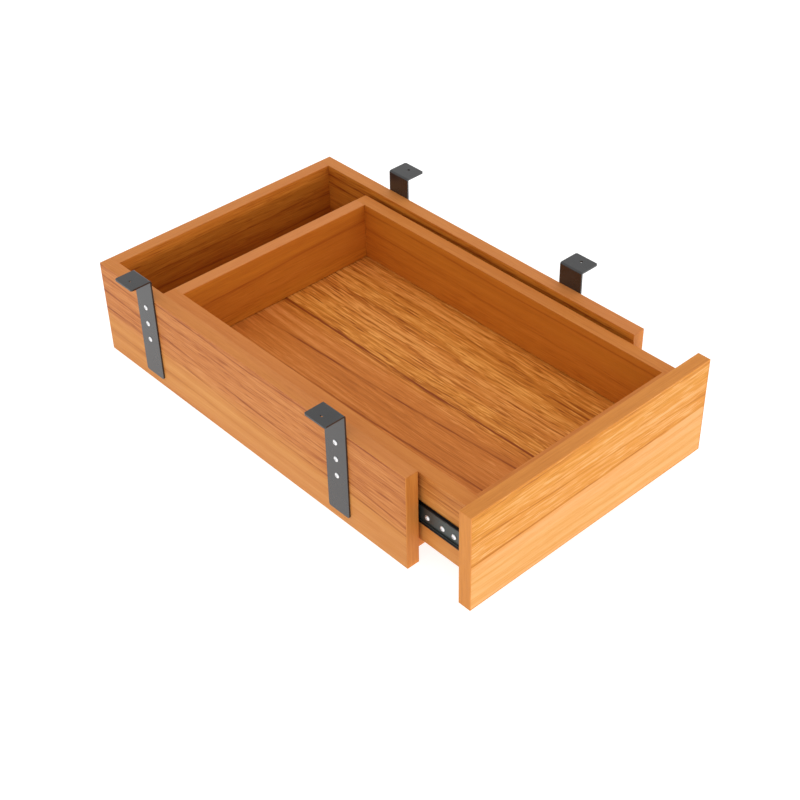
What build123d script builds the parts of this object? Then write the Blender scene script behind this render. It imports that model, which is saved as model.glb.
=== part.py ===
from build123d import *
import os

# Under desk drawer: an open casing hung from a desk by four angle brackets, with a drawer
# box that runs out of it on two ball bearing slides.
# Millimetres. +Z is up, X is the width and the drawer opens towards -Y.
# The origin is the bottom centre of the whole part, with the drawer partly open.

# ---- boards ----
board_t = 16.0
band_t = 1.0

# ---- casing ----
case_width = 350.0
case_depth = 520.0
case_height = 122.0
case_bottom_recess = 16.0

# ---- drawer box ----
side_gap = 5.5
box_depth = 500.0
box_bottom_z = 25.0
box_top_z = 114.0
floor_t = 8.0
floor_z = 30.0
floor_groove = 6.0
floor_groove_play = 1.0

# ---- drawer front ----
front_width = 350.0
front_height = 122.0
front_bottom_z = 7.0
closed_gap = 1.0
open_at_rest = 72.0

# ---- hanging brackets ----
bracket_t = 2.0
bracket_width = 32.0
bracket_bottom_z = 12.0
bracket_top_z = 149.0
bracket_reach = 27.0
bracket_bend = 2.5
bracket_corner = 2.5
bracket_screw_z = (106.0, 84.0, 62.0)
desk_hole_r = 1.75
desk_hole_from_case = 17.0
left_bracket_from_front = (102.0, 428.0)
right_bracket_from_front = (108.0, 390.0)

# ---- slides: u runs from the drawer side towards the casing, w up from mid height ----
slide_z = 65.0
slide_depth = 8.0
slide_set_back = 12.0
outer_length = 455.0
outer_half = 16.5
outer_web_t = 1.2
outer_bevel = 0.8
inner_set_back = 13.0
inner_length = 450.0
inner_half = 12.9
inner_depth = 3.4
inner_web_t = 1.0
inner_lip = 3.0
inner_lip_bevel = 0.8
ball_r = 1.25
ball_u = 1.9
ball_w = 13.4
ball_play = 0.05
race_mouth = 0.5
cage_length = 100.0
cage_t = 0.6
cage_half = 13.7
cage_depth = 4.5
cage_edge_u = 0.25
balls_per_row = 8
ball_pitch = 11.5
full_travel = 340.0
bumper_length = 4.5
bumper_clear = 0.5
bumper_corner = 1.5

# ---- fasteners ----
dowel_r = 4.0
dowel_length = 28.0
dowel_in_side = 10.0
dowel_play = 0.05
thread_play = 0.05
wood_screw_r = 1.75
wood_screw_head_r = 3.1
wood_screw_head = 1.4
wood_screw_length = 11.0
front_screw_r = 2.0
front_screw_head_r = 4.0
front_screw_head = 2.5
front_screw_length = 27.0
recess_half = 0.45

# ---- screw shape: shares of the shank's radius, or of the head's radius and height ----
screw_point = 2.0
head_rim = 0.35
head_dome = (0.72, 0.82)
recess_reach = 0.5
recess_floor = 0.4

# ---- where the fasteners sit ----
outer_screws_from_front = (30.0, 165.0, 310.0, 450.0)
inner_screws_from_front = (27.5, 43.5, 65.0, 250.0, 430.0)
inner_screw_z = slide_z - 2.5
front_screw_x = (-110.0, 110.0)
front_screw_z = (50.0, 98.0)
back_dowel_z = (32.0, 92.0)
bottom_dowels_from_front = (60.0, 260.0, 460.0)
box_dowel_z = (48.0, 98.0)

# ---- places worked out from the sizes above ----
total_depth = case_depth + closed_gap + open_at_rest + board_t
case_front_y = -total_depth / 2 + board_t + closed_gap + open_at_rest
case_back_y = case_front_y + case_depth
case_side_x = case_width / 2
case_inner_x = case_side_x - board_t
box_side_x = case_inner_x - side_gap
box_inner_x = box_side_x - board_t
box_front_y = -total_depth / 2 + board_t
box_back_y = box_front_y + box_depth
outer_front_y = case_front_y + slide_set_back
inner_front_y = box_front_y + inner_set_back
race_depth = (ball_r + ball_play) * 2**0.5
race_half = race_depth - race_mouth
cage_centre_y = (
    outer_front_y + (inner_length - full_travel) / 2 + (full_travel - open_at_rest) / 2
)

SIDES = {"left": -1, "right": 1}
BRACKETS = {
    "front_left": (-1, left_bracket_from_front[0]),
    "rear_left": (-1, left_bracket_from_front[1]),
    "front_right": (1, right_bracket_from_front[0]),
    "rear_right": (1, right_bracket_from_front[1]),
}

os.makedirs("parts", exist_ok=True)


def save(builder, label):
    """Name one finished piece and write its STEP file."""
    builder.part.label = label
    export_step(builder.part, f"parts/{label}.step")


def block(x_span, y_span, z_span, mode=Mode.ADD):
    """A rectangular block between two corners, inside the current part."""
    (x0, x1), (y0, y1), (z0, z1) = sorted(x_span), sorted(y_span), sorted(z_span)
    with BuildSketch(Plane.XY.offset(z0)) as footprint:
        with Locations(((x0 + x1) / 2, (y0 + y1) / 2)):
            Rectangle(x1 - x0, y1 - y0)
    extrude(footprint.sketch, amount=z1 - z0, mode=mode)


def bore(point, direction, radius, depth):
    """A round hole that starts at a point and runs along a direction."""
    with BuildSketch(Plane(origin=point, z_dir=direction)) as mouth:
        Circle(radius)
    extrude(mouth.sketch, amount=depth, mode=Mode.SUBTRACT)


def rod(point, direction, radius, length):
    """A round rod that starts at a point and runs along a direction."""
    with BuildSketch(Plane(origin=point, z_dir=direction)) as end:
        Circle(radius)
    extrude(end.sketch, amount=length)


def screw_master(radius, head_r, head, length):
    """A cross-recessed pan head screw: head above z = 0, plain shank and point below."""
    arm = (-recess_reach * head_r, recess_reach * head_r)
    slot = (-recess_half, recess_half)
    above_recess_floor = (recess_floor * head, 2 * head)
    with BuildPart() as master:
        with BuildSketch(Plane.XZ):
            with BuildLine():
                Polyline(
                    (0, -length),
                    (radius, -length + screw_point * radius),
                    (radius, 0),
                    (head_r, 0),
                    (head_r, head_rim * head),
                )
                ThreePointArc(
                    (head_r, head_rim * head),
                    (head_dome[0] * head_r, head_dome[1] * head),
                    (0, head),
                )
                Line((0, head), (0, -length))
            make_face()
        revolve(axis=Axis.Z)
        block(arm, slot, above_recess_floor, Mode.SUBTRACT)
        block(slot, arm, above_recess_floor, Mode.SUBTRACT)
    return master.part


def place_screw(screw, point, turn):
    """Add a copy of an upright screw to the current part, turned and moved to a point."""
    with Locations(Location(point, turn)):
        add(screw)


def slide_plane(side, y):
    """A section plane across a slide: x along u, y along w."""
    return Plane(
        origin=(side * box_side_x, y, slide_z),
        x_dir=(side, 0, 0),
        z_dir=(0, -side, 0),
    )


def extrude_slide(side, front_y, length, outline):
    """Sweep one closed (u, w) outline, which is mirrored about mid height, along the slide."""
    mirrored = [(u, -w) for u, w in reversed(outline)]
    start_y = front_y + length if side > 0 else front_y
    with BuildSketch(slide_plane(side, start_y)) as section:
        with BuildLine():
            Polyline(*outline, *mirrored, close=True)
        make_face()
    extrude(section.sketch, amount=length)


def to_back(y):
    """Distance from the casing's front edge turned into a Y position."""
    return case_front_y + y


wood_screw = screw_master(
    wood_screw_r, wood_screw_head_r, wood_screw_head, wood_screw_length
)
front_screw = screw_master(
    front_screw_r, front_screw_head_r, front_screw_head, front_screw_length
)

back_dowel_y = case_back_y - board_t / 2
outer_screw_x = box_side_x + slide_depth - outer_web_t
inner_screw_x = box_side_x + inner_web_t
box_dowel_y = (box_front_y + board_t / 2, box_back_y - board_t / 2)


# ---- casing side panels: a stopped groove takes the slide, blind holes take the fasteners ----
for name, side in SIDES.items():
    inner_x = side * case_inner_x
    with BuildPart() as casing_side:
        block(
            (inner_x, side * case_side_x),
            (case_front_y + band_t, case_back_y),
            (0, case_height - band_t),
        )
        block(
            (inner_x, side * (box_side_x + slide_depth)),
            (outer_front_y, outer_front_y + outer_length),
            (slide_z - outer_half, slide_z + outer_half),
            Mode.SUBTRACT,
        )
        for z in back_dowel_z:
            bore((inner_x, back_dowel_y, z), (side, 0, 0), dowel_r + dowel_play, dowel_in_side)
        for y in bottom_dowels_from_front:
            bore(
                (inner_x, to_back(y), board_t / 2),
                (side, 0, 0),
                dowel_r + dowel_play,
                dowel_in_side,
            )
        for y in outer_screws_from_front:
            bore(
                (inner_x, to_back(y), slide_z),
                (side, 0, 0),
                wood_screw_r + thread_play,
                outer_screw_x - case_inner_x + wood_screw_length,
            )
        for bracket_side, y in BRACKETS.values():
            if bracket_side == side:
                for z in bracket_screw_z:
                    bore(
                        (side * case_side_x, to_back(y), z),
                        (-side, 0, 0),
                        wood_screw_r + thread_play,
                        wood_screw_length - bracket_t,
                    )
    save(casing_side, f"casing_{name}_panel")

    with BuildPart() as casing_side_band:
        block(
            (inner_x, side * case_side_x),
            (case_front_y, case_back_y),
            (case_height - band_t, case_height),
        )
    save(casing_side_band, f"casing_{name}_top_band")

    with BuildPart() as casing_front_band:
        block(
            (inner_x, side * case_side_x),
            (case_front_y, case_front_y + band_t),
            (0, case_height - band_t),
        )
    save(casing_front_band, f"casing_{name}_front_band")


# ---- casing back and bottom, between the sides ----
with BuildPart() as casing_back:
    block(
        (-case_inner_x, case_inner_x),
        (case_back_y - board_t, case_back_y),
        (0, case_height - band_t),
    )
    for side in SIDES.values():
        for z in back_dowel_z:
            bore(
                (side * case_inner_x, back_dowel_y, z),
                (-side, 0, 0),
                dowel_r + dowel_play,
                dowel_length - dowel_in_side,
            )
save(casing_back, "casing_back_panel")

with BuildPart() as casing_back_band:
    block(
        (-case_inner_x, case_inner_x),
        (case_back_y - board_t, case_back_y),
        (case_height - band_t, case_height),
    )
save(casing_back_band, "casing_back_top_band")

with BuildPart() as casing_bottom:
    block(
        (-case_inner_x, case_inner_x),
        (to_back(case_bottom_recess + band_t), case_back_y - board_t),
        (0, board_t),
    )
    for side in SIDES.values():
        for y in bottom_dowels_from_front:
            bore(
                (side * case_inner_x, to_back(y), board_t / 2),
                (-side, 0, 0),
                dowel_r + dowel_play,
                dowel_length - dowel_in_side,
            )
save(casing_bottom, "casing_bottom_panel")

with BuildPart() as casing_bottom_band:
    block(
        (-case_inner_x, case_inner_x),
        (to_back(case_bottom_recess), to_back(case_bottom_recess + band_t)),
        (0, board_t),
    )
save(casing_bottom_band, "casing_bottom_front_band")

with BuildPart() as casing_dowels:
    for side in SIDES.values():
        start_x = side * (case_inner_x + dowel_in_side)
        for z in back_dowel_z:
            rod((start_x, back_dowel_y, z), (-side, 0, 0), dowel_r, dowel_length)
        for y in bottom_dowels_from_front:
            rod((start_x, to_back(y), board_t / 2), (-side, 0, 0), dowel_r, dowel_length)
save(casing_dowels, "casing_dowels")


# ---- angle brackets: the strap is screwed to the casing and the foot meets the desk ----
for name, (side, from_front) in BRACKETS.items():
    inner_x = side * case_side_x
    outer_x = side * (case_side_x + bracket_t)
    tip_x = side * (case_side_x + bracket_reach)
    y_centre = to_back(from_front)
    with BuildPart() as bracket:
        with BuildSketch(Plane.XZ.offset(-y_centre)):
            with BuildLine():
                Polyline(
                    (inner_x, bracket_bottom_z),
                    (inner_x, bracket_top_z),
                    (tip_x, bracket_top_z),
                    (tip_x, bracket_top_z - bracket_t),
                    (outer_x, bracket_top_z - bracket_t),
                    (outer_x, bracket_bottom_z),
                    close=True,
                )
            make_face()
        extrude(amount=bracket_width / 2, both=True)
        y_edges = bracket.edges().filter_by(Axis.Y)
        bend_outside = y_edges.filter_by_position(Axis.Z, bracket_top_z, bracket_top_z)
        fillet(bend_outside.sort_by(Axis.X)[0 if side > 0 else -1], bracket_bend)
        under_foot = bracket_top_z - bracket_t
        y_edges = bracket.edges().filter_by(Axis.Y)
        bend_inside = y_edges.filter_by_position(Axis.Z, under_foot, under_foot)
        fillet(bend_inside.sort_by(Axis.X)[0 if side > 0 else -1], bracket_bend - bracket_t)
        z_edges = bracket.edges().filter_by(Axis.Z)
        foot_corners = z_edges.filter_by_position(Axis.X, tip_x, tip_x)
        fillet(foot_corners, bracket_corner)
        strap_corners = bracket.edges().filter_by(Axis.X).group_by(Axis.Z)[0]
        fillet(strap_corners, bracket_corner)
        for z in bracket_screw_z:
            bore((outer_x, y_centre, z), (-side, 0, 0), wood_screw_r + thread_play, bracket_t)
        bore(
            (side * (case_side_x + desk_hole_from_case), y_centre, bracket_top_z),
            (0, 0, -1),
            desk_hole_r,
            bracket_t,
        )
    save(bracket, f"bracket_{name}")

with BuildPart() as bracket_screws:
    for side, from_front in BRACKETS.values():
        for z in bracket_screw_z:
            head_seat = (side * (case_side_x + bracket_t), to_back(from_front), z)
            place_screw(wood_screw, head_seat, (0, side * 90, 0))
save(bracket_screws, "bracket_screws")


# ---- ball bearing slides ----
outer_outline = [
    (race_mouth, ball_w + race_mouth),
    (ball_u - race_half, ball_w + race_mouth),
    (ball_u, ball_w + race_depth),
    (ball_u + race_half, ball_w + race_mouth),
    (cage_depth, ball_w + race_mouth),
    (cage_depth + outer_web_t, outer_half - outer_web_t),
    (slide_depth - outer_web_t, outer_half - outer_web_t),
]
outer_outline = [
    *reversed(outer_outline),
    (race_mouth, outer_half - outer_bevel),
    (race_mouth + outer_bevel, outer_half),
    (slide_depth - outer_bevel, outer_half),
    (slide_depth, outer_half - outer_bevel),
]
inner_outline = [
    (0, inner_half),
    (ball_u - race_half, inner_half),
    (ball_u, ball_w - race_depth),
    (ball_u + race_half, inner_half),
    (inner_depth, inner_half),
    (inner_depth, inner_half - inner_web_t),
    (inner_depth - inner_lip_bevel, inner_half - inner_lip),
    (inner_web_t, inner_half - inner_lip),
]
cage_outline = [
    (cage_edge_u, cage_half),
    (cage_depth, cage_half),
]

for name, side in SIDES.items():
    with BuildPart() as outer_member:
        extrude_slide(side, outer_front_y, outer_length, outer_outline)
        for y in outer_screws_from_front:
            bore(
                (side * outer_screw_x, to_back(y), slide_z),
                (side, 0, 0),
                wood_screw_r + thread_play,
                outer_web_t,
            )
    save(outer_member, f"slide_outer_{name}")

    with BuildPart() as inner_member:
        extrude_slide(side, inner_front_y, inner_length, inner_outline)
        for y in inner_screws_from_front:
            bore(
                (side * inner_screw_x, box_front_y + y, inner_screw_z),
                (-side, 0, 0),
                wood_screw_r + thread_play,
                inner_web_t,
            )
    save(inner_member, f"slide_inner_{name}")

    with BuildPart() as ball_cage:
        extrude_slide(side, cage_centre_y - cage_length / 2, cage_length, cage_outline)
        block(
            (side * (box_side_x + cage_edge_u), side * (box_side_x + cage_depth - cage_t)),
            (cage_centre_y - cage_length, cage_centre_y + cage_length),
            (slide_z - cage_half + cage_t, slide_z + cage_half - cage_t),
            Mode.SUBTRACT,
        )
        with Locations((side * (box_side_x + ball_u), cage_centre_y, slide_z)):
            with GridLocations(0, ball_pitch, 1, balls_per_row):
                Cylinder(ball_r + 2 * ball_play, 4 * cage_half, mode=Mode.SUBTRACT)
    save(ball_cage, f"slide_ball_cage_{name}")

    with BuildPart() as balls:
        for row in (-ball_w, ball_w):
            with Locations((side * (box_side_x + ball_u), cage_centre_y, slide_z + row)):
                with GridLocations(0, ball_pitch, 1, balls_per_row):
                    Sphere(ball_r)
    save(balls, f"slide_balls_{name}")

    with BuildPart() as bumper:
        block(
            (side * (box_side_x + bumper_clear), side * outer_screw_x),
            (outer_front_y + outer_length - bumper_length, outer_front_y + outer_length),
            (slide_z - ball_w, slide_z + ball_w),
        )
        fillet(bumper.edges().filter_by(Axis.X), bumper_corner)
    save(bumper, f"slide_bumper_{name}")

with BuildPart() as slide_casing_screws:
    for side in SIDES.values():
        for y in outer_screws_from_front:
            head_seat = (side * outer_screw_x, to_back(y), slide_z)
            place_screw(wood_screw, head_seat, (0, -side * 90, 0))
save(slide_casing_screws, "slide_casing_screws")

with BuildPart() as slide_drawer_screws:
    for side in SIDES.values():
        for y in inner_screws_from_front:
            head_seat = (side * inner_screw_x, box_front_y + y, inner_screw_z)
            place_screw(wood_screw, head_seat, (0, side * 90, 0))
save(slide_drawer_screws, "slide_drawer_screws")


# ---- drawer box sides: a groove inside takes the floor ----
for name, side in SIDES.items():
    inner_x = side * box_inner_x
    with BuildPart() as box_side:
        block(
            (inner_x, side * box_side_x),
            (box_front_y, box_back_y),
            (box_bottom_z, box_top_z - band_t),
        )
        block(
            (inner_x, inner_x + side * floor_groove),
            (box_front_y + board_t - floor_groove, box_back_y - board_t + floor_groove),
            (floor_z, floor_z + floor_t + floor_groove_play),
            Mode.SUBTRACT,
        )
        for y in box_dowel_y:
            for z in box_dowel_z:
                bore((inner_x, y, z), (side, 0, 0), dowel_r + dowel_play, dowel_in_side)
        for y in inner_screws_from_front:
            bore(
                (side * box_side_x, box_front_y + y, inner_screw_z),
                (-side, 0, 0),
                wood_screw_r + thread_play,
                wood_screw_length - inner_web_t,
            )
    save(box_side, f"drawer_{name}_side")

    with BuildPart() as box_side_band:
        block(
            (inner_x, side * box_side_x),
            (box_front_y, box_back_y),
            (box_top_z - band_t, box_top_z),
        )
    save(box_side_band, f"drawer_{name}_side_band")


# ---- drawer box front and back, between the sides ----
BOX_ENDS = (("box_front", box_dowel_y[0], 1), ("back", box_dowel_y[1], -1))
for name, y_middle, inward in BOX_ENDS:
    groove_face = y_middle + inward * board_t / 2
    with BuildPart() as box_end:
        block(
            (-box_inner_x, box_inner_x),
            (y_middle - board_t / 2, y_middle + board_t / 2),
            (box_bottom_z, box_top_z - band_t),
        )
        block(
            (-box_inner_x, box_inner_x),
            (groove_face, groove_face - inward * floor_groove),
            (floor_z, floor_z + floor_t + floor_groove_play),
            Mode.SUBTRACT,
        )
        for side in SIDES.values():
            for z in box_dowel_z:
                bore(
                    (side * box_inner_x, y_middle, z),
                    (-side, 0, 0),
                    dowel_r + dowel_play,
                    dowel_length - dowel_in_side,
                )
        if inward > 0:
            for x in front_screw_x:
                for z in front_screw_z:
                    bore((x, groove_face, z), (0, -1, 0), front_screw_r + thread_play, board_t)
    save(box_end, f"drawer_{name}")

    with BuildPart() as box_end_band:
        block(
            (-box_inner_x, box_inner_x),
            (y_middle - board_t / 2, y_middle + board_t / 2),
            (box_top_z - band_t, box_top_z),
        )
    save(box_end_band, f"drawer_{name}_band")

with BuildPart() as box_dowels:
    for side in SIDES.values():
        for y in box_dowel_y:
            for z in box_dowel_z:
                start_x = side * (box_inner_x + dowel_in_side)
                rod((start_x, y, z), (-side, 0, 0), dowel_r, dowel_length)
save(box_dowels, "drawer_dowels")

with BuildPart() as drawer_floor:
    block(
        (-box_inner_x - floor_groove, box_inner_x + floor_groove),
        (box_front_y + board_t - floor_groove, box_back_y - board_t + floor_groove),
        (floor_z, floor_z + floor_t),
    )
save(drawer_floor, "drawer_bottom")


# ---- drawer front: an overlay panel, screwed on from inside the box and banded all round ----
front_top_z = front_bottom_z + front_height
front_half = front_width / 2
front_y = (box_front_y - board_t, box_front_y)
with BuildPart() as drawer_front:
    block(
        (-front_half + band_t, front_half - band_t),
        front_y,
        (front_bottom_z + band_t, front_top_z - band_t),
    )
    for x in front_screw_x:
        for z in front_screw_z:
            bore(
                (x, box_front_y, z),
                (0, -1, 0),
                front_screw_r + thread_play,
                front_screw_length - board_t,
            )
save(drawer_front, "drawer_front")

with BuildPart() as front_bands:
    block((-front_half, front_half), front_y, (front_bottom_z, front_bottom_z + band_t))
    block((-front_half, front_half), front_y, (front_top_z - band_t, front_top_z))
save(front_bands, "drawer_front_long_bands")

with BuildPart() as front_end_bands:
    for side in SIDES.values():
        block(
            (side * (front_half - band_t), side * front_half),
            front_y,
            (front_bottom_z + band_t, front_top_z - band_t),
        )
save(front_end_bands, "drawer_front_end_bands")

with BuildPart() as front_screws:
    for x in front_screw_x:
        for z in front_screw_z:
            place_screw(front_screw, (x, box_front_y + board_t, z), (-90, 0, 0))
save(front_screws, "drawer_front_screws")
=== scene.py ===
import math
import random

import bpy
from mathutils import Matrix, Vector


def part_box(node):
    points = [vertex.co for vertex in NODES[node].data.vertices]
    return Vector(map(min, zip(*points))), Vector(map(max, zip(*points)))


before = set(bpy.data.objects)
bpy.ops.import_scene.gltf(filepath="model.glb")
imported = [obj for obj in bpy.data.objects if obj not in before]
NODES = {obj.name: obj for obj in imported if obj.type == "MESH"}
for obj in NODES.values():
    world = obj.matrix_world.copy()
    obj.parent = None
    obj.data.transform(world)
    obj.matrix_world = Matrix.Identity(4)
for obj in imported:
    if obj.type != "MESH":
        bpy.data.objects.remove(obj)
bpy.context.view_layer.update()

# Under desk drawer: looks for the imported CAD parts. Metres, +Z up, the drawer opens towards -Y.

MM = 0.001
seeds = random.Random(41)

# ---- sizes read from the frame ----
case_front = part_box("casing_left_front_band")[0].y
rail_low, rail_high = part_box("slide_inner_left")

# ---- softened edges, and the lips of the slide's drawer member ----
BOARD_EDGE = 0.4 * MM
BAND_EDGE = 0.2 * MM
RAIL_LIP = 3.0 * MM
RAIL_LIP_BLEND = 0.5 * MM

# ---- camera: degrees, and metres from the foot of the casing's front edge, in the middle ----
CAMERA_AZIMUTH = -41.84
CAMERA_ELEVATION = 38.62
CAMERA_ROLL = -1.34
CAMERA_PLACE = Vector((-0.90864, -0.81385, 1.09340))
SENSOR_WIDTH = 36
FOCAL_SHARE = 1.91041

# ---- light and stage ----
WORLD_STRENGTH = 0.86
# Each sun: azimuth, elevation, strength and spread; angles in degrees.
SUNS = {"front": (5, 2, 1.20, 10), "top": (-40, 72, 0.22, 60)}
STAGE_HALF = 30.0
STAGE_DROP = 0.05 * MM
STAGE_GLOW = 0.85

# ---- colours, linear ----
BACKDROP = (0.40, 0.40, 0.40, 1)
BEECH_DARK = (0.42, 0.25, 0.12, 1)
BEECH_LIGHT = (0.66, 0.46, 0.26, 1)
BRACKET_DARK = (0.010, 0.010, 0.011, 1)
BRACKET_LIGHT = (0.018, 0.018, 0.019, 1)
STEEL_BLACK = (0.006, 0.006, 0.007, 1)
# Painted sheen: the lighter colour laid on the slide's flat web.
WEB_PAINTED_SHEEN = (0.095, 0.110, 0.105, 1)
ZINC_DARK = (0.88, 0.88, 0.89, 1)
ZINC_LIGHT = (0.97, 0.97, 0.98, 1)
BALL_STEEL = (0.75, 0.75, 0.76, 1)
BALL_STEEL_DARK = (0.55, 0.55, 0.57, 1)
CAGE_DARK = (0.20, 0.19, 0.17, 1)
CAGE_LIGHT = (0.38, 0.37, 0.34, 1)
RUBBER_DARK = (0.010, 0.010, 0.011, 1)
RUBBER_LIGHT = (0.028, 0.028, 0.030, 1)

# Wood tones: deep streak, brown, body and light colours, then the tint of redder veneer; some
# carry painted shade.
TONES = {
    "front": (
        (0.42, 0.130, 0.010),
        (0.56, 0.205, 0.017),
        (0.66, 0.270, 0.031),
        (0.77, 0.405, 0.136),
        (1.00, 0.90, 0.95),
    ),
    "side": (
        (0.34, 0.085, 0.012),
        (0.50, 0.160, 0.028),
        (0.65, 0.252, 0.052),
        (0.74, 0.335, 0.088),
        (0.92, 0.80, 0.88),
    ),
    # Painted shade: the veneer darkened and deepened for boards inside the box.
    "inner": (
        (0.28, 0.055, 0.004),
        (0.45, 0.124, 0.009),
        (0.61, 0.205, 0.017),
        (0.72, 0.275, 0.032),
        (0.96, 0.84, 1.05),
    ),
    # Painted shade: the veneer darkened most, for the casing's back wall deep in the box.
    "back": (
        (0.24, 0.045, 0.003),
        (0.40, 0.106, 0.007),
        (0.55, 0.178, 0.013),
        (0.65, 0.238, 0.024),
        (0.96, 0.84, 1.05),
    ),
    "floor": (
        (0.28, 0.058, 0.005),
        (0.48, 0.146, 0.014),
        (0.67, 0.230, 0.029),
        (0.90, 0.400, 0.085),
        (0.95, 0.87, 1.10),
    ),
    "front_band": (
        (0.46, 0.140, 0.024),
        (0.59, 0.200, 0.035),
        (0.70, 0.264, 0.050),
        (0.78, 0.320, 0.070),
        (0.97, 0.88, 1.00),
    ),
    "case_band": (
        (0.42, 0.125, 0.024),
        (0.54, 0.175, 0.036),
        (0.64, 0.228, 0.052),
        (0.72, 0.280, 0.072),
        (0.97, 0.86, 1.05),
    ),
    "box_band": (
        (0.40, 0.115, 0.016),
        (0.53, 0.162, 0.026),
        (0.63, 0.214, 0.040),
        (0.71, 0.268, 0.058),
        (0.97, 0.86, 1.00),
    ),
}

# ---- grain: features per metre across a board, through it and along its grain ----
DRIFT = (9, 9, 1.6)
TONE_BANDS = (20, 20, 0.9)
CLOUDS = (24, 24, 6)
STREAKS = (130, 130, 2.2)
RIBS = (370, 370, 9)
RIB_PATCHES = (17, 17, 3)
FINE_RIBS = (760, 760, 30)
BRIGHT_FLECKS = (720, 720, 36)
DARK_FLECKS = (800, 800, 30)
FIBRES = (1500, 1500, 60)
PORES = (2300, 2300, 170)
ZONE_EDGE = (60, 60, 2.5)
LINE_STRAY = (0, 0, 2.2)
LINE_FADE = (40, 40, 9)

# The shade picks the veneer's colour, from its deep tone at 0 to its light tone at 1. It starts
# from the middle, and each weight is how far that part of the grain moves it.
MIDDLE_SHADE = 0.60
RIB_WEIGHT = 0.90
FINE_WEIGHT = 0.44
FLECK_WEIGHT = 0.26
STREAK_WEIGHT = 0.50
CLOUD_WEIGHT = 0.22
TONE_WEIGHT = 0.30
FIBRE_WEIGHT = 0.14
PORE_WEIGHT = 0.08

# The share of the ribs and flecks that is left where the veneer is plain.
PLAIN_GRAIN = 0.30

# How far the grain and the edge between two zones stray, and how wide growth lines are.
DRIFT_WIDTH = 5 * MM
ZONE_EDGE_WIDTH = 4 * MM
LINE_CORE = (0.4 * MM, 1.8 * MM)
LINE_HALO = 8 * MM
LINE_HALO_SHARE = 0.30


# ---- node helpers ----
def new_material(name):
    """An empty node material with its Principled shader: (material, tree, shader)."""
    material = bpy.data.materials.new(name)
    material.use_nodes = True
    return material, material.node_tree, material.node_tree.nodes["Principled BSDF"]


def put(socket, value):
    """Link a socket to another, or set its value."""
    if isinstance(value, bpy.types.NodeSocket):
        socket.id_data.links.new(value, socket)
    else:
        socket.default_value = value


def math_node(tree, operation, a, b=0.0):
    node = tree.nodes.new("ShaderNodeMath")
    node.operation = operation
    put(node.inputs[0], a)
    put(node.inputs[1], b)
    return node.outputs[0]


def vector_node(tree, operation, a, b):
    node = tree.nodes.new("ShaderNodeVectorMath")
    node.operation = operation
    put(node.inputs[0], a)
    put(node.inputs[1], b)
    return node.outputs[0]


def noise(tree, vector, stretch, detail=2.0, roughness=0.5, distortion=0.0):
    """Noise from 0 to 1, with so many features per metre along each axis of the vector."""
    node = tree.nodes.new("ShaderNodeTexNoise")
    put(node.inputs["Vector"], vector_node(tree, "MULTIPLY", vector, stretch))
    put(node.inputs["Scale"], 1.0)
    put(node.inputs["Detail"], detail)
    put(node.inputs["Roughness"], roughness)
    put(node.inputs["Distortion"], distortion)
    return node.outputs["Fac"]


def remap(tree, value, low, high, new_low=0.0, new_high=1.0, smooth=False):
    """The value carried from one range to another, held at the ends."""
    node = tree.nodes.new("ShaderNodeMapRange")
    if smooth:
        node.interpolation_type = "SMOOTHSTEP"
    put(node.inputs["Value"], value)
    put(node.inputs["From Min"], low)
    put(node.inputs["From Max"], high)
    put(node.inputs["To Min"], new_low)
    put(node.inputs["To Max"], new_high)
    return node.outputs[0]


def ramp(tree, value, stops):
    """A colour ramp through (position, colour) stops."""
    node = tree.nodes.new("ShaderNodeValToRGB")
    elements = node.color_ramp.elements
    while len(elements) < len(stops):
        elements.new(0.5)
    for element, (position, colour) in zip(elements, stops):
        element.position = position
        element.color = (*colour[:3], 1)
    put(node.inputs["Fac"], value)
    return node.outputs["Color"]


def mix(tree, factor, a, b, blend="MIX"):
    node = tree.nodes.new("ShaderNodeMix")
    node.data_type = "RGBA"
    node.blend_type = blend
    put(node.inputs["Factor"], factor)
    put(node.inputs["A"], a)
    put(node.inputs["B"], b)
    return node.outputs["Result"]


def bump(tree, shader, height, distance, strength):
    node = tree.nodes.new("ShaderNodeBump")
    put(node.inputs["Height"], height)
    put(node.inputs["Distance"], distance)
    put(node.inputs["Strength"], strength)
    put(shader.inputs["Normal"], node.outputs["Normal"])


def object_position(tree):
    return tree.nodes.new("ShaderNodeTexCoord").outputs["Object"]


# ---- wood ----
def board_position(tree, along, wide):
    """Position with x across the board's face, y through its thickness and z along the grain,
    with its across and along values on their own."""
    split = tree.nodes.new("ShaderNodeSeparateXYZ")
    join = tree.nodes.new("ShaderNodeCombineXYZ")
    put(split.inputs[0], object_position(tree))
    through = next(axis for axis in "XYZ" if axis not in (along, wide))
    for name, axis in zip("XYZ", (wide, through, along)):
        put(join.inputs[name], split.outputs[axis])
    return join.outputs[0], split.outputs[wide], split.outputs[along]


def centred(tree, value, weight):
    """A 0 to 1 value made to swing about zero by half the weight each way."""
    return math_node(tree, "MULTIPLY", math_node(tree, "SUBTRACT", value, 0.5), weight)


def total(tree, values):
    """The sum of several values."""
    result = values[0]
    for value in values[1:]:
        result = math_node(tree, "ADD", result, value)
    return result


def stray(tree, position, stretch, width):
    """A wandering offset of up to about the width each way."""
    return remap(tree, noise(tree, position, stretch, 2), 0.3, 0.7, -width, width)


def drifted(tree, position):
    """The position with the grain drifting slowly to and fro across the board."""
    drift = stray(tree, position, DRIFT, DRIFT_WIDTH)
    shift = tree.nodes.new("ShaderNodeCombineXYZ")
    put(shift.inputs["X"], drift)
    put(shift.inputs["Y"], drift)
    return vector_node(tree, "ADD", position, shift.outputs[0])


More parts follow.
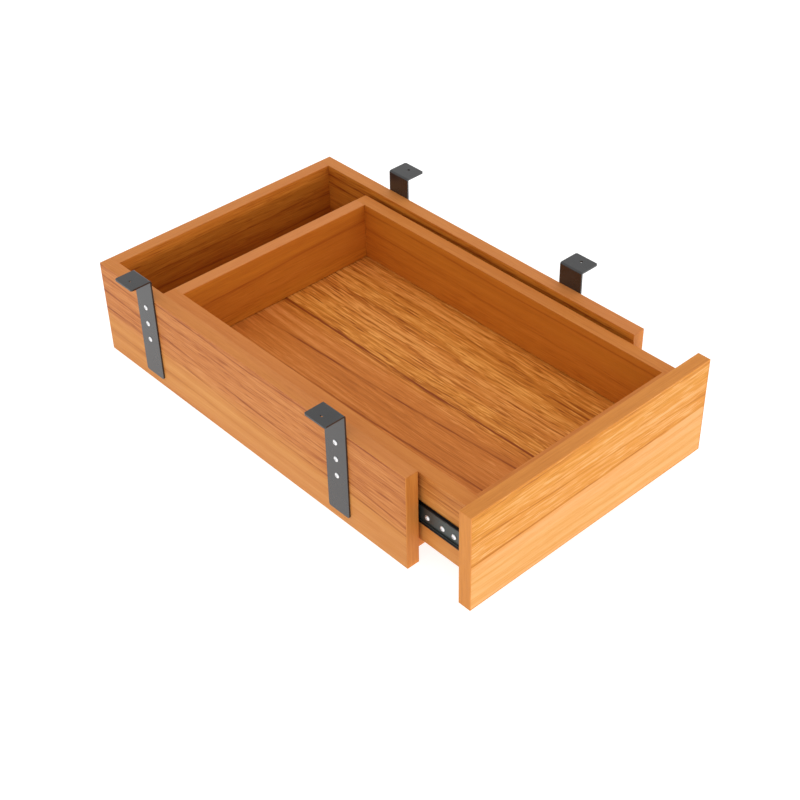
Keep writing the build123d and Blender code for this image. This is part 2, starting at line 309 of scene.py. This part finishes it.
def ribbed_grain(tree, position, ribs):
    """Ribs and flecks that swing about zero, as strong as ribs says."""
    rib = noise(tree, position, RIBS, 2)
    fine = noise(tree, position, FINE_RIBS, 2)
    patch = remap(tree, noise(tree, position, RIB_PATCHES, 1), 0.36, 0.62, 0.45, 1.0)
    bright = remap(tree, noise(tree, position, BRIGHT_FLECKS, 1), 0.58, 0.66)
    dark = remap(tree, noise(tree, position, DARK_FLECKS, 1), 0.58, 0.66)
    return total(tree, [
        math_node(tree, "MULTIPLY", patch, centred(tree, rib, RIB_WEIGHT * ribs)),
        centred(tree, fine, FINE_WEIGHT * ribs),
        math_node(tree, "MULTIPLY", bright, FLECK_WEIGHT * ribs),
        math_node(tree, "MULTIPLY", dark, -FLECK_WEIGHT * ribs),
    ])


def growth_line(tree, position, across, length, line, wander):
    """A thin dark line along the grain that strays a little and fades in and out. The line is
    its place in millimetres from the board's low edge, where it crosses the middle of the
    frame, its slope (how far it moves across over its length) and its strength."""
    place, slope, strength = line
    slant = math_node(tree, "MULTIPLY", length, -slope)
    bent = total(tree, [across, stray(tree, position, LINE_STRAY, wander), slant])
    distance = math_node(tree, "ABSOLUTE", math_node(tree, "SUBTRACT", bent, place * MM))
    core = remap(tree, distance, *LINE_CORE, strength, 0.0, smooth=True)
    halo = remap(tree, distance, 0.0, LINE_HALO, LINE_HALO_SHARE * strength, 0.0, smooth=True)
    fade = remap(tree, noise(tree, position, LINE_FADE, 2), 0.32, 0.52, 0.35, 1.0)
    return math_node(tree, "MULTIPLY", math_node(tree, "ADD", core, halo), fade)


def wood(node, along, wide, tone, zones=None, ribs=1.0, streak=1.0, plain_lift_and_shade=0.0,
         red=(0.0, 0.0), lines=(), wander=4):
    """Veneer of one board, its grain along one axis and its face across another. zones is where
    the veneer turns plain and where it turns figured, and red how red each of the two is.
    Places, and how far the lines wander, are in millimetres from the board's low edge."""
    material, tree, shader = new_material("veneer_" + node)
    deep, brown, body, light, redder = TONES[tone]
    position, across, length = board_position(tree, along, wide)
    low_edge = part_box(node)[0]["XYZ".index(wide)]
    across = math_node(tree, "SUBTRACT", across, low_edge)
    offset = [seeds.uniform(-3, 3) for _ in range(3)]
    position = vector_node(tree, "ADD", position, offset)
    warped = drifted(tree, position)

    figure = 0.5
    if zones:
        plain_at, figured_at = zones
        edge = stray(tree, warped, ZONE_EDGE, ZONE_EDGE_WIDTH)
        place = math_node(tree, "ADD", across, edge)
        figure = remap(tree, place, plain_at * MM, figured_at * MM, smooth=True)

    tone_band = noise(tree, warped, TONE_BANDS, 2)
    fibre = noise(tree, position, FIBRES, 2)
    pores = remap(tree, noise(tree, position, PORES, 1), 0.64, 0.74)
    grain_share = remap(tree, figure, 0.0, 1.0, PLAIN_GRAIN, 1.0)
    shade = total(tree, [
        # The plain zone's lift: a lighter or darker veneer tone on some boards, painted shade on
        # the two back walls.
        remap(tree, figure, 0.0, 1.0, MIDDLE_SHADE + plain_lift_and_shade, MIDDLE_SHADE),
        math_node(tree, "MULTIPLY", ribbed_grain(tree, warped, ribs), grain_share),
        centred(tree, noise(tree, warped, STREAKS, 3, 0.6), STREAK_WEIGHT * streak),
        centred(tree, noise(tree, position, CLOUDS, 3), CLOUD_WEIGHT),
        centred(tree, tone_band, TONE_WEIGHT),
        centred(tree, fibre, FIBRE_WEIGHT),
        math_node(tree, "MULTIPLY", pores, -PORE_WEIGHT),
    ])
    for line in lines:
        dark = growth_line(tree, position, across, length, line, wander * MM)
        shade = math_node(tree, "SUBTRACT", shade, dark)

    colour = ramp(tree, shade, ((0.10, deep), (0.36, brown), (0.60, body), (0.88, light)))
    redness = total(tree, [
        remap(tree, tone_band, 0.50, 0.68, 0.0, 0.45, smooth=True),
        remap(tree, figure, 0.0, 1.0, *red),
    ])
    colour = mix(tree, redness, colour, mix(tree, 1.0, colour, (*redder, 1), "MULTIPLY"))
    put(shader.inputs["Base Color"], colour)
    put(shader.inputs["Roughness"], remap(tree, fibre, 0.25, 0.75, 0.44, 0.60))
    shader.inputs["Specular IOR Level"].default_value = 0.18
    bump(tree, shader, math_node(tree, "SUBTRACT", shade, pores), 0.25 * MM, 0.35)
    return material


def dowel_wood(name):
    """Beech dowel with fine grain along X."""
    material, tree, shader = new_material(name)
    position = object_position(tree)
    grain = noise(tree, position, (60, 1200, 1200), 4, 0.6)
    put(shader.inputs["Base Color"], ramp(tree, grain, ((0.3, BEECH_DARK), (0.7, BEECH_LIGHT))))
    shader.inputs["Roughness"].default_value = 0.6
    bump(tree, shader, grain, 0.1 * MM, 0.4)
    return material


# ---- metals and rubber ----
def powder_coat(name):
    """Dark satin powder coat with a fine orange peel."""
    material, tree, shader = new_material(name)
    position = object_position(tree)
    peel = noise(tree, position, (900, 900, 900), 2)
    cloud = noise(tree, position, (35, 35, 35), 3)
    speck = remap(tree, noise(tree, position, (2600, 2600, 2600), 1), 0.60, 0.72)
    colour = ramp(tree, cloud, ((0.35, BRACKET_DARK), (0.65, BRACKET_LIGHT)))
    speck = math_node(tree, "MULTIPLY", speck, 0.35)
    put(shader.inputs["Base Color"], mix(tree, speck, colour, BRACKET_DARK))
    put(shader.inputs["Roughness"], remap(tree, cloud, 0.3, 0.7, 0.24, 0.32))
    shader.inputs["IOR"].default_value = 1.68
    bump(tree, shader, peel, 0.03 * MM, 0.4)
    return material


def slide_steel(name):
    """Black slide steel; its flat web between the raised lips carries a painted sheen, lighter
    than the lips.
    """
    material, tree, shader = new_material(name)
    position = object_position(tree)
    middle = (rail_low.z + rail_high.z) / 2
    lip_at = (rail_high.z - rail_low.z) / 2 - RAIL_LIP
    drawn = noise(tree, position, (900, 12, 900), 3, 0.6)
    split = tree.nodes.new("ShaderNodeSeparateXYZ")
    put(split.inputs[0], position)
    height = math_node(tree, "ABSOLUTE", math_node(tree, "SUBTRACT", split.outputs["Z"], middle))
    # Painted sheen: the flat web is painted lighter than the black lips.
    web = remap(tree, height, lip_at, lip_at + RAIL_LIP_BLEND, 1.0, 0.0)
    painted_sheen = math_node(tree, "MULTIPLY", web, remap(tree, drawn, 0.3, 0.7, 0.75, 1.0))
    put(shader.inputs["Base Color"], mix(tree, painted_sheen, STEEL_BLACK, WEB_PAINTED_SHEEN))
    put(shader.inputs["Roughness"], remap(tree, drawn, 0.3, 0.7, 0.34, 0.50))
    shader.inputs["Metallic"].default_value = 0.8
    bump(tree, shader, drawn, 0.03 * MM, 0.3)
    return material


def plated(name, dark, light, roughness, metallic=1.0, stretch=(700, 700, 700)):
    """Bright plated steel, lightly brushed along its least stretched axis."""
    material, tree, shader = new_material(name)
    brushed = noise(tree, object_position(tree), stretch, 3, 0.6)
    put(shader.inputs["Base Color"], ramp(tree, brushed, ((0.3, dark), (0.7, light))))
    put(shader.inputs["Roughness"], remap(tree, brushed, 0.3, 0.7, roughness, roughness + 0.12))
    shader.inputs["Metallic"].default_value = metallic
    bump(tree, shader, brushed, 0.02 * MM, 0.3)
    return material


def rubber(name):
    """Matt black bumper rubber."""
    material, tree, shader = new_material(name)
    grain = noise(tree, object_position(tree), (1300, 1300, 1300), 3)
    colour = ramp(tree, grain, ((0.35, RUBBER_DARK), (0.65, RUBBER_LIGHT)))
    put(shader.inputs["Base Color"], colour)
    shader.inputs["Roughness"].default_value = 0.8
    bump(tree, shader, grain, 0.08 * MM, 0.5)
    return material


# ---- which board has which veneer and painted shade: wood() says what each word means ----
BOARDS = {
    "casing_left_panel": dict(
        along="Y", wide="Z", tone="side", zones=(40, 62), ribs=0.85, streak=1.2,
        plain_lift_and_shade=0.06, red=(0.0, 0.80), wander=5,
        lines=((118, 0.0, 0.26), (96, 0.03, 0.20), (67, 0.055, 0.32), (50, 0.03, 0.26),
               (28, 0.0, 0.10)),
    ),
    # Painted shade: the inner tone darkens this board, whose face is inside the box.
    "casing_right_panel": dict(
        along="Y", wide="Z", tone="inner", zones=(30, 70), ribs=0.8, red=(0.0, 0.3),
        lines=((112, 0.0, 0.25), (95, 0.02, 0.20), (60, 0.0, 0.25)),
    ),
    # Painted shade: the back tone, and the plain zone at the bottom painted darker still.
    "casing_back_panel": dict(
        along="X", wide="Z", tone="back", zones=(45, 95), ribs=0.7, plain_lift_and_shade=-0.16,
        red=(0.4, 0.4), lines=((88, 0.02, 0.20), (62, 0.0, 0.20)),
    ),
    "casing_bottom_panel": dict(
        along="Y", wide="X", tone="side", zones=(59, 209), ribs=0.9,
        lines=((99, 0.02, 0.3), (209, 0.0, 0.3)),
    ),
    "drawer_front": dict(
        along="X", wide="Z", tone="front", zones=(56, 59), ribs=0.85, plain_lift_and_shade=0.20,
        red=(0.25, 0.0), wander=1.5,
        lines=((117.5, 0.0, 0.26), (82, -0.034, 0.30), (59.5, 0.009, 0.42)),
    ),
    "drawer_left_side": dict(
        along="Y", wide="Z", tone="side", zones=(35, 60), ribs=0.8,
        lines=((79, 0.0, 0.3), (69, 0.0, 0.3), (25, 0.0, 0.2)),
    ),
    # Painted shade: the inner tone darkens this board, whose face is inside the box.
    "drawer_right_side": dict(
        along="Y", wide="Z", tone="inner", zones=(80, 35), ribs=0.40, streak=0.7,
        red=(0.1, 0.3), lines=((79, 0.0, 0.15), (50, 0.03, 0.10)),
    ),
    # Painted shade: the inner tone, and the plain zone at the top of the drawer back painted
    # darker.
    "drawer_back": dict(
        along="X", wide="Z", tone="inner", zones=(85, 20), ribs=0.45, streak=0.7,
        plain_lift_and_shade=-0.14, lines=((63, 0.02, 0.12),),
    ),
    # Painted shade: the inner tone darkens this board inside the box.
    "drawer_box_front": dict(along="X", wide="Z", tone="inner", zones=(5, 55), ribs=0.6),
    "drawer_bottom": dict(
        along="Y", wide="X", tone="floor", zones=(123.5, 157.5), ribs=1.3, streak=1.5,
        plain_lift_and_shade=-0.02, red=(1.0, 0.0), wander=2.5,
        lines=((150.5, -0.004, 0.85), (113.5, -0.050, 0.32), (68.5, -0.03, 0.30),
               (38.5, 0.0, 0.24), (199.5, 0.0, 0.16), (238.5, 0.0, 0.18)),
    ),
}
# The edge bands: which way the grain runs, which way the band is wide, and its tone.
BANDS = {
    "casing_left_top_band": ("Y", "X", "case_band"),
    "casing_right_top_band": ("Y", "X", "case_band"),
    "casing_back_top_band": ("X", "Y", "case_band"),
    "casing_left_front_band": ("Z", "X", "front_band"),
    "casing_right_front_band": ("Z", "X", "front_band"),
    "casing_bottom_front_band": ("X", "Z", "front_band"),
    "drawer_left_side_band": ("Y", "X", "box_band"),
    "drawer_right_side_band": ("Y", "X", "box_band"),
    "drawer_back_band": ("X", "Y", "case_band"),
    "drawer_box_front_band": ("X", "Y", "box_band"),
    "drawer_front_long_bands": ("X", "Y", "front_band"),
    "drawer_front_end_bands": ("Z", "Y", "front_band"),
}
# The other finishes, by the start of the node's name; the longest start that fits is used.
FINISHES = {
    "bracket_": powder_coat("bracket_powder_coat"),
    "slide_": slide_steel("slide_black_steel"),
    "slide_ball_cage_": plated("cage_steel", CAGE_DARK, CAGE_LIGHT, 0.40, 1.0, (900, 20, 900)),
    "slide_balls_": plated("ball_steel", BALL_STEEL_DARK, BALL_STEEL, 0.12),
    "slide_bumper_": rubber("bumper_rubber"),
}
SCREWS = plated("bright_zinc", ZINC_DARK, ZINC_LIGHT, 0.30, 0.8)
DOWELS = dowel_wood("beech_dowel")


def material_for(name):
    """The finish of one CAD node."""
    if name in BOARDS:
        return wood(name, **BOARDS[name])
    if name in BANDS:
        return wood(name, *BANDS[name], ribs=0.5, streak=0.6)
    if "screws" in name:
        return SCREWS
    if "dowels" in name:
        return DOWELS
    return FINISHES[max((start for start in FINISHES if name.startswith(start)), key=len)]


def soften_edges(node, width):
    """Round the sharp edges of a CAD node a little, after joining its flat faces."""
    weld = node.modifiers.new("weld", "WELD")
    weld.merge_threshold = 0.001 * MM
    flat = node.modifiers.new("flat_faces", "DECIMATE")
    flat.decimate_type = "DISSOLVE"
    flat.angle_limit = math.radians(0.5)
    bevel = node.modifiers.new("soft_edges", "BEVEL")
    bevel.width = width
    bevel.segments = 2
    bevel.limit_method = "ANGLE"
    bevel.angle_limit = math.radians(50)
    bevel.use_clamp_overlap = False
    bevel.loop_slide = False


for name in sorted(NODES):
    node = NODES[name]
    finish = material_for(name)
    node.data.materials.clear()
    node.data.materials.append(finish)
    if name in BOARDS:
        soften_edges(node, BOARD_EDGE)
    if name in BANDS:
        soften_edges(node, BAND_EDGE)


# ---- stage ----
def make_floor():
    """A wide pale floor under the casing."""
    mesh = bpy.data.meshes.new("floor")
    square = ((-1, -1), (1, -1), (1, 1), (-1, 1))
    corners = [(x * STAGE_HALF, y * STAGE_HALF, 0) for x, y in square]
    mesh.from_pydata(corners, [], [(0, 1, 2, 3)])
    floor = bpy.data.objects.new("floor", mesh)
    floor.location.z = -STAGE_DROP
    bpy.context.scene.collection.objects.link(floor)
    material, tree, shader = new_material("pale_floor")
    shader.inputs["Base Color"].default_value = BACKDROP
    shader.inputs["Roughness"].default_value = 0.9
    shader.inputs["Emission Color"].default_value = (1, 1, 1, 1)
    shader.inputs["Emission Strength"].default_value = STAGE_GLOW
    mesh.materials.append(material)


def direction(azimuth, elevation):
    """Unit vector from the object towards a place round it; azimuth 0 is in front, at -Y."""
    a, e = math.radians(azimuth), math.radians(elevation)
    return Vector((math.sin(a) * math.cos(e), -math.cos(a) * math.cos(e), math.sin(e)))


def soft_sun(name, azimuth, elevation, strength, angle):
    """Even soft light from one side, spread over an angle in degrees."""
    data = bpy.data.lights.new(name, "SUN")
    data.energy = strength
    data.angle = math.radians(angle)
    light = bpy.data.objects.new(name, data)
    light.rotation_euler = direction(azimuth, elevation).to_track_quat("Z", "Y").to_euler()
    bpy.context.scene.collection.objects.link(light)


def make_lights():
    """Even white light all round, and two soft suns."""
    world = bpy.data.worlds.new("studio")
    world.use_nodes = True
    background = world.node_tree.nodes["Background"]
    background.inputs["Color"].default_value = (1.0, 1.0, 1.0, 1)
    background.inputs["Strength"].default_value = WORLD_STRENGTH
    bpy.context.scene.world = world
    for name, sun in SUNS.items():
        soft_sun(name, *sun)


def make_camera():
    """A long lens from the front left and above, rolled a little."""
    data = bpy.data.cameras.new("camera")
    data.sensor_width = SENSOR_WIDTH
    data.lens = FOCAL_SHARE * SENSOR_WIDTH
    camera = bpy.data.objects.new("camera", data)
    azimuth, roll = math.radians(CAMERA_AZIMUTH), math.radians(CAMERA_ROLL)
    back = direction(CAMERA_AZIMUTH, CAMERA_ELEVATION)
    level = Vector((math.cos(azimuth), math.sin(azimuth), 0))
    upright = back.cross(level)
    right = level * math.cos(roll) + upright * math.sin(roll)
    up = upright * math.cos(roll) - level * math.sin(roll)
    turn = Matrix((right, up, back)).transposed().to_4x4()
    place = Vector((0, case_front, 0)) + CAMERA_PLACE
    camera.matrix_world = Matrix.Translation(place) @ turn
    bpy.context.scene.collection.objects.link(camera)
    bpy.context.scene.camera = camera


make_floor()
make_lights()
make_camera()
bpy.context.scene.view_settings.view_transform = "Standard"
